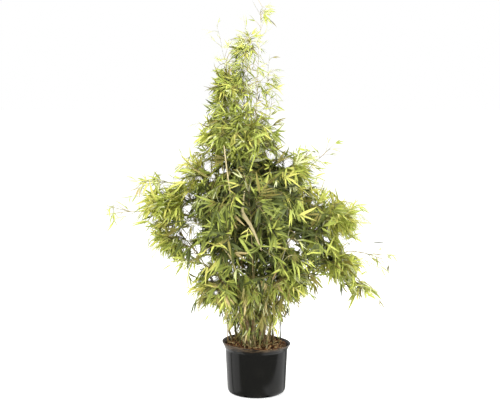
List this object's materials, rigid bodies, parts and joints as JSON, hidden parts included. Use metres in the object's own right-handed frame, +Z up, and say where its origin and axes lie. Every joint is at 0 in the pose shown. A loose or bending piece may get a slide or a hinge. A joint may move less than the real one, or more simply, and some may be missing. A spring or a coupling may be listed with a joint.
{
  "type": "potted bamboo",
  "caption": "Clump-forming bamboo in a round plastic nursery pot, with thin stems fanning from the soil into a tapering leafy plume that arches out low at the sides.",
  "frame": {"origin": "centre of the pot's flat underside", "axes": "+Z up along the pot's axis to the tallest stem, +X to the right and -Y to the front as the plant is seen"},
  "size_m": [1.1923, 0.7718, 1.577],
  "materials": {
    "pot": "satin",
    "soil": "matte",
    "stem": "satin",
    "foliage": "matte"
  },
  "bodies": {
    "root": {"pot": "pot", "soil": "soil", "stem_spire_leader": "stem", "stem_spire_front": "stem", "stem_spire_back": "stem", "stem_wisp_left": "stem", "stem_wisp_right": "stem", "stem_rear_left": "stem", "stem_rear_right": "stem", "stem_shoulder_left": "stem", "stem_shoulder_right": "stem", "stem_shoulder_outer": "stem", "stem_shoulder_back": "stem", "stem_shoulder_front": "stem", "stem_arch_left_high": "stem", "stem_arch_left_far": "stem", "stem_arch_left_low": "stem", "stem_arch_right_high": "stem", "stem_arch_right_far": "stem", "stem_arch_right_low": "stem", "stem_arch_front_left": "stem", "stem_arch_front_right": "stem", "stem_arch_back_left": "stem", "stem_arch_back_right": "stem", "foliage_tip": "foliage", "foliage_wisp_left": "foliage", "foliage_wisp_right": "foliage", "foliage_spire_top": "foliage", "foliage_spire_middle": "foliage", "foliage_spire_foot": "foliage", "foliage_left_arm": "foliage", "foliage_right_arm": "foliage", "foliage_shoulder_left": "foliage", "foliage_shoulder_right": "foliage", "foliage_left_high": "foliage", "foliage_right_high": "foliage", "foliage_front": "foliage", "foliage_back": "foliage", "foliage_heart": "foliage", "foliage_left_low": "foliage", "foliage_right_low": "foliage", "foliage_skirt_left": "foliage", "foliage_skirt_right": "foliage", "foliage_far_left": "foliage", "foliage_far_right": "foliage"}
  },
  "joints": []
}
